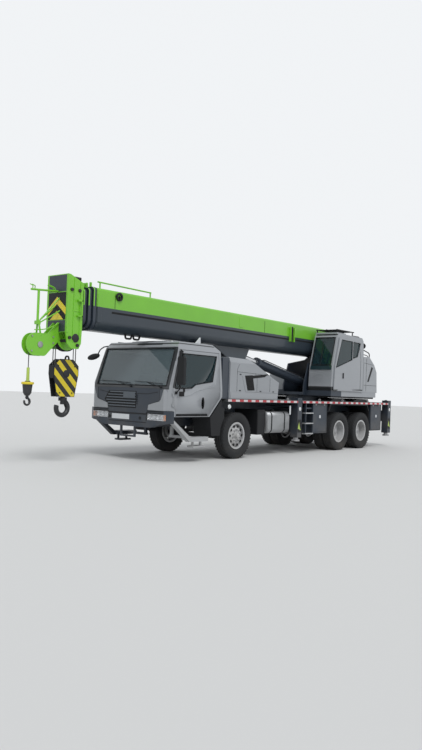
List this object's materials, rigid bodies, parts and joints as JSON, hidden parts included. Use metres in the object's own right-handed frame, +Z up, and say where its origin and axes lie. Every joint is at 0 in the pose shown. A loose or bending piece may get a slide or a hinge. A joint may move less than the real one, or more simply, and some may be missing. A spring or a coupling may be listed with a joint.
{
  "type": "mobile crane",
  "caption": "Truck crane on three axles: telescopic boom on a turning upper frame, driver's cab, operator's cab, outriggers and two hoist hooks.",
  "frame": {"origin": "on the ground under the middle of the crane's bounding box", "axes": "+X forward along the crane, +Y to its left, +Z up"},
  "size_m": [13.37, 2.95, 3.74],
  "materials": {
    "frame_paint": "satin dark slate paint",
    "body_paint": "glossy mid grey paint",
    "boom_green": "glossy lime green paint",
    "boom_dark": "satin dark slate paint",
    "rim_paint": "silver grey paint",
    "tyre_rubber": "matt black",
    "cast_dark": "dark painted castings",
    "black_plastic": "fine grained",
    "cab_glass": "tinted",
    "lamp_lens": "clear lens",
    "seat_fabric": "dark grey cloth",
    "chrome_rod": "ground and plated",
    "rope_steel": "greased wire rope",
    "hook_yellow": "yellow paint with black stripes",
    "mirror_shell": "black shell"
  },
  "bodies": {
    "carrier": {"chassis_frame": "frame_paint", "boom_rest": "frame_paint", "deck_plates": "frame_paint", "engine_block": "cast_dark", "axles": "cast_dark", "cab_shell": "body_paint", "cab_windscreen": "cab_glass", "cab_interior": "seat_fabric", "front_bumper": "frame_paint", "lamps": "lamp_lens", "mirror_right": "mirror_shell", "steps": "body_paint", "bonnet": "body_paint", "mudguards": "black_plastic", "tanks_and_lockers": "frame_paint"},
    "turntable": {"turntable_frame": "frame_paint", "counterweight": "body_paint", "rear_housings": "body_paint", "op_cab_shell": "body_paint", "op_cab_glass": "cab_glass", "op_cab_interior": "seat_fabric"},
    "operator_door": {"op_cab_door": "body_paint"},
    "door_left": {"cab_door_left": "body_paint", "mirror_left": "mirror_shell"},
    "door_right": {"cab_door_right": "body_paint"},
    "knuckle_l": {"knuckle_left": "cast_dark"},
    "knuckle_r": {"knuckle_right": "cast_dark"},
    "wheel_front_left": {"front_tyre_left": "tyre_rubber", "front_rim_left": "rim_paint"},
    "wheel_front_right": {"front_tyre_right": "tyre_rubber", "front_rim_right": "rim_paint"},
    "winch_main": {"main_winch": "rope_steel"},
    "winch_second": {"aux_winch": "rope_steel"},
    "luff_cylinder": {"luff_barrel": "boom_dark"},
    "luff_piston": {"luff_rod": "chrome_rod"},
    "boom_1": {"boom_section_1": "boom_green"},
    "boom_2": {"boom_section_2": "boom_green"},
    "boom_3": {"boom_section_3": "boom_green"},
    "boom_4": {"boom_section_4": "boom_green"},
    "boom_5": {"boom_section_5": "boom_green"},
    "main_falls": {"main_rope": "rope_steel"},
    "main_hook": {"main_block": "hook_yellow"},
    "second_fall": {"aux_rope": "rope_steel"},
    "second_hook": {"aux_hook": "hook_yellow"},
    "wheel_2_left": {"rear_tyres_2_left": "tyre_rubber", "rear_rims_2_left": "rim_paint"},
    "wheel_2_right": {"rear_tyres_2_right": "tyre_rubber", "rear_rims_2_right": "rim_paint"},
    "wheel_3_left": {"rear_tyres_3_left": "tyre_rubber", "rear_rims_3_left": "rim_paint"},
    "wheel_3_right": {"rear_tyres_3_right": "tyre_rubber", "rear_rims_3_right": "rim_paint"},
    "beam_front_left": {"stand_beam_front_left": "frame_paint"},
    "jack_front_left": {"stand_jack_front_left": "chrome_rod"},
    "beam_front_right": {"stand_beam_front_right": "frame_paint"},
    "jack_front_right": {"stand_jack_front_right": "chrome_rod"},
    "beam_rear_left": {"stand_beam_rear_left": "frame_paint"},
    "jack_rear_left": {"stand_jack_rear_left": "chrome_rod"},
    "beam_rear_right": {"stand_beam_rear_right": "frame_paint"},
    "jack_rear_right": {"stand_jack_rear_right": "chrome_rod"}
  },
  "joints": [
    {"name": "steer_left", "type": "hinge", "parent": "carrier", "child": "knuckle_l", "pos_m": [1.515, 0.85, 0.542], "axis": [0, 0, 1], "range_deg": [-35, 35]},
    {"name": "steer_right", "type": "hinge", "parent": "carrier", "child": "knuckle_r", "pos_m": [1.515, -0.85, 0.542], "axis": [0, 0, 1], "range_deg": [-35, 35]},
    {"name": "wheel_front_left_spin", "type": "hinge", "parent": "knuckle_l", "child": "wheel_front_left", "pos_m": [1.515, 1.05, 0.542], "axis": [0, 1, 0], "continuous": true},
    {"name": "wheel_2_left_spin", "type": "hinge", "parent": "carrier", "child": "wheel_2_left", "pos_m": [-3.335, 0.915, 0.542], "axis": [0, 1, 0], "continuous": true},
    {"name": "wheel_3_left_spin", "type": "hinge", "parent": "carrier", "child": "wheel_3_left", "pos_m": [-4.685, 0.915, 0.542], "axis": [0, 1, 0], "continuous": true},
    {"name": "wheel_front_right_spin", "type": "hinge", "parent": "knuckle_r", "child": "wheel_front_right", "pos_m": [1.515, -1.05, 0.542], "axis": [0, 1, 0], "continuous": true},
    {"name": "wheel_2_right_spin", "type": "hinge", "parent": "carrier", "child": "wheel_2_right", "pos_m": [-3.335, -0.915, 0.542], "axis": [0, 1, 0], "continuous": true},
    {"name": "wheel_3_right_spin", "type": "hinge", "parent": "carrier", "child": "wheel_3_right", "pos_m": [-4.685, -0.915, 0.542], "axis": [0, 1, 0], "continuous": true},
    {"name": "door_left_swing", "type": "hinge", "parent": "carrier", "child": "door_left", "pos_m": [3.827, 1.215, 1.5], "axis": [0, 0, -1], "range_deg": [0, 68]},
    {"name": "door_right_swing", "type": "hinge", "parent": "carrier", "child": "door_right", "pos_m": [3.827, -1.215, 1.5], "axis": [0, 0, 1], "range_deg": [0, 68]},
    {"name": "beam_front_left_slide", "type": "slide", "parent": "carrier", "child": "beam_front_left", "axis": [0, 1, 0], "range_m": [0, 1.75]},
    {"name": "jack_front_left_slide", "type": "slide", "parent": "beam_front_left", "child": "jack_front_left", "axis": [0, 0, -1], "range_m": [0, 0.5]},
    {"name": "beam_front_right_slide", "type": "slide", "parent": "carrier", "child": "beam_front_right", "axis": [0, -1, 0], "range_m": [0, 1.75]},
    {"name": "jack_front_right_slide", "type": "slide", "parent": "beam_front_right", "child": "jack_front_right", "axis": [0, 0, -1], "range_m": [0, 0.5]},
    {"name": "beam_rear_left_slide", "type": "slide", "parent": "carrier", "child": "beam_rear_left", "axis": [0, 1, 0], "range_m": [0, 1.75]},
    {"name": "jack_rear_left_slide", "type": "slide", "parent": "beam_rear_left", "child": "jack_rear_left", "axis": [0, 0, -1], "range_m": [0, 0.5]},
    {"name": "beam_rear_right_slide", "type": "slide", "parent": "carrier", "child": "beam_rear_right", "axis": [0, -1, 0], "range_m": [0, 1.75]},
    {"name": "jack_rear_right_slide", "type": "slide", "parent": "beam_rear_right", "child": "jack_rear_right", "axis": [0, 0, -1], "range_m": [0, 0.5]},
    {"name": "slew", "type": "hinge", "parent": "carrier", "child": "turntable", "pos_m": [-3.435, 0, 1.5], "axis": [0, 0, 1], "continuous": true},
    {"name": "operator_door_slide", "type": "slide", "parent": "turntable", "child": "operator_door", "axis": [-1, 0, 0], "range_m": [0, 0.66]},
    {"name": "winch_main_turn", "type": "hinge", "parent": "turntable", "child": "winch_main", "pos_m": [-5.365, 0, 2.08], "axis": [0, 1, 0], "continuous": true},
    {"name": "winch_second_turn", "type": "hinge", "parent": "turntable", "child": "winch_second", "pos_m": [-4.565, 0, 2.08], "axis": [0, 1, 0], "continuous": true},
    {"name": "boom_luff", "type": "hinge", "parent": "turntable", "child": "boom_1", "pos_m": [-4.835, 0, 2.95], "axis": [0, -1, 0], "range_deg": [0, 77.5]},
    {"name": "luff_barrel_tilt", "type": "hinge", "parent": "turntable", "child": "luff_cylinder", "pos_m": [-3.485, 0, 1.865], "axis": [0, -1, 0], "range_deg": [0, 78.18]},
    {"name": "luff_rod_extend", "type": "slide", "parent": "luff_cylinder", "child": "luff_piston", "axis": [0.9823, 0, 0.1872], "range_m": [0, 2.1696]},
    {"name": "telescope_2", "type": "slide", "parent": "boom_1", "child": "boom_2", "axis": [1, 0, 0], "range_m": [0, 7.5]},
    {"name": "telescope_3", "type": "slide", "parent": "boom_2", "child": "boom_3", "axis": [1, 0, 0], "range_m": [0, 7.5]},
    {"name": "telescope_4", "type": "slide", "parent": "boom_3", "child": "boom_4", "axis": [1, 0, 0], "range_m": [0, 7.5]},
    {"name": "telescope_5", "type": "slide", "parent": "boom_4", "child": "boom_5", "axis": [1, 0, 0], "range_m": [0, 7.5]},
    {"name": "main_falls_swing", "type": "hinge", "parent": "boom_5", "child": "main_falls", "pos_m": [5.725, 0, 2.5], "axis": [0, -1, 0], "range_deg": [-77.5, 0]},
    {"name": "main_hoist", "type": "slide", "parent": "main_falls", "child": "main_hook", "axis": [0, 0, -1], "range_m": [0, 40], "deforming": ["main_rope"]},
    {"name": "second_fall_swing", "type": "hinge", "parent": "boom_5", "child": "second_fall", "pos_m": [6.375, 0, 2.33], "axis": [0, -1, 0], "range_deg": [-77.5, 0]},
    {"name": "second_hoist", "type": "slide", "parent": "second_fall", "child": "second_hook", "axis": [0, 0, -1], "range_m": [0, 41], "deforming": ["aux_rope"]}
  ],
  "couplings": [
    {"joint": "steer_right", "follows": "steer_left", "ratio": 1},
    {"joint": "luff_barrel_tilt", "follows": "boom_luff", "ratio": 1.0082},
    {"joint": "luff_rod_extend", "follows": "boom_luff", "m_per_rad": 1.6025},
    {"joint": "telescope_4", "follows": "telescope_3", "ratio": 1},
    {"joint": "telescope_5", "follows": "telescope_3", "ratio": 1},
    {"joint": "main_falls_swing", "follows": "boom_luff", "ratio": -1},
    {"joint": "second_fall_swing", "follows": "boom_luff", "ratio": -1}
  ]
}
